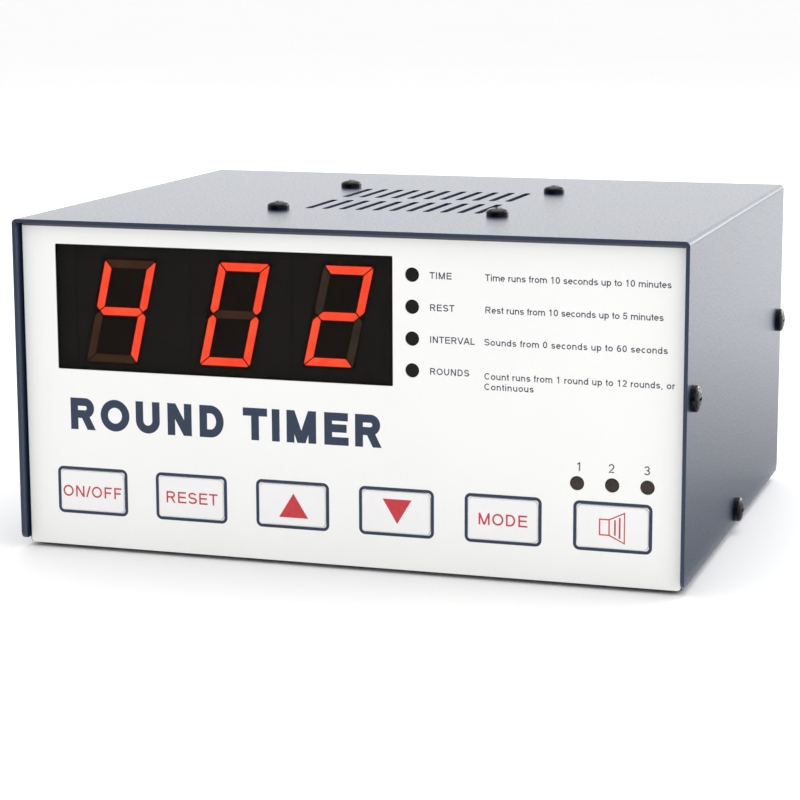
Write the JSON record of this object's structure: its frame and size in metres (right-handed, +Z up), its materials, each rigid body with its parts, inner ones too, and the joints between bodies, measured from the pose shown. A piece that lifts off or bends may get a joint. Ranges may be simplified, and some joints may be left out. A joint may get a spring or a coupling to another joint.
{
  "type": "gym round timer",
  "caption": "Bench-top round timer: folded steel box, slanted red digits behind a smoked window, sprung front keys, slotted top over a speaker, rubber feet.",
  "frame": {"origin": "on the table under the middle of the box, at the level of the feet", "axes": "+Z up; the front panel with the keys and display faces -Y; +X is to the right as one faces the panel"},
  "size_m": [0.2602, 0.205, 0.1282],
  "materials": {
    "navy_enamel": "fine-textured navy powder coat",
    "overlay_white": "satin printed film",
    "smoked_window": "smoked clear film",
    "led_epoxy": "dark smoked epoxy",
    "black_plastic": "moulded black",
    "black_oxide_steel": "black oxide",
    "zinc_plate": "zinc plated",
    "ferrite": "sintered ferrite",
    "cone_paper": "pressed black paper",
    "circuit_board": "green solder mask",
    "foot_rubber": "matt black rubber",
    "lead_jacket": "soft insulated cable"
  },
  "bodies": {
    "case": {"board_screw_1": "black_oxide_steel", "board_screw_2": "black_oxide_steel", "board_screw_3": "black_oxide_steel", "board_screw_4": "black_oxide_steel", "chassis_tray": "navy_enamel", "control_board": "circuit_board", "digit_minutes": "black_plastic", "digit_seconds": "black_plastic", "digit_tens": "black_plastic", "display_window": "smoked_window", "foot_front_left": "foot_rubber", "foot_front_right": "foot_rubber", "foot_rear_left": "foot_rubber", "foot_rear_right": "foot_rubber", "front_overlay": "overlay_white", "led_interval": "led_epoxy", "led_level_1": "led_epoxy", "led_level_2": "led_epoxy", "led_level_3": "led_epoxy", "led_rest": "led_epoxy", "led_rounds": "led_epoxy", "led_time": "led_epoxy", "power_jack": "black_plastic", "power_jack_nut": "zinc_plate", "power_lead": "lead_jacket", "side_screw_left_base": "black_oxide_steel", "side_screw_left_front": "black_oxide_steel", "side_screw_left_rear": "black_oxide_steel", "side_screw_right_base": "black_oxide_steel", "side_screw_right_front": "black_oxide_steel", "side_screw_right_rear": "black_oxide_steel", "speaker_basket": "zinc_plate", "speaker_lead": "lead_jacket", "speaker_magnet": "ferrite", "speaker_screw_1": "black_oxide_steel", "speaker_screw_2": "black_oxide_steel", "speaker_screw_3": "black_oxide_steel", "speaker_screw_4": "black_oxide_steel", "speaker_top_plate": "zinc_plate", "speaker_yoke": "zinc_plate", "switch_down": "black_plastic", "switch_mode": "black_plastic", "switch_on_off": "black_plastic", "switch_reset": "black_plastic", "switch_up": "black_plastic", "switch_volume": "black_plastic", "top_cover": "navy_enamel"},
    "on_off_key": {"key_on_off": "overlay_white", "plunger_on_off": "black_plastic"},
    "reset_key": {"key_reset": "overlay_white", "plunger_reset": "black_plastic"},
    "up_key": {"key_up": "overlay_white", "plunger_up": "black_plastic"},
    "down_key": {"key_down": "overlay_white", "plunger_down": "black_plastic"},
    "mode_key": {"key_mode": "overlay_white", "plunger_mode": "black_plastic"},
    "volume_key": {"key_volume": "overlay_white", "plunger_volume": "black_plastic"},
    "cone": {"speaker_cone": "cone_paper"}
  },
  "joints": [
    {"name": "on_off_press", "type": "slide", "parent": "case", "child": "on_off_key", "axis": [0, 1, 0], "range_m": [0, 0.0005], "stiffness_N_per_m": 3000},
    {"name": "reset_press", "type": "slide", "parent": "case", "child": "reset_key", "axis": [0, 1, 0], "range_m": [0, 0.0005], "stiffness_N_per_m": 3000},
    {"name": "up_press", "type": "slide", "parent": "case", "child": "up_key", "axis": [0, 1, 0], "range_m": [0, 0.0005], "stiffness_N_per_m": 3000},
    {"name": "down_press", "type": "slide", "parent": "case", "child": "down_key", "axis": [0, 1, 0], "range_m": [0, 0.0005], "stiffness_N_per_m": 3000},
    {"name": "mode_press", "type": "slide", "parent": "case", "child": "mode_key", "axis": [0, 1, 0], "range_m": [0, 0.0005], "stiffness_N_per_m": 3000},
    {"name": "volume_press", "type": "slide", "parent": "case", "child": "volume_key", "axis": [0, 1, 0], "range_m": [0, 0.0005], "stiffness_N_per_m": 3000},
    {"name": "cone_travel", "type": "slide", "parent": "case", "child": "cone", "axis": [0, 0, 1], "range_m": [-0.001, 0.001], "stiffness_N_per_m": 1500}
  ]
}
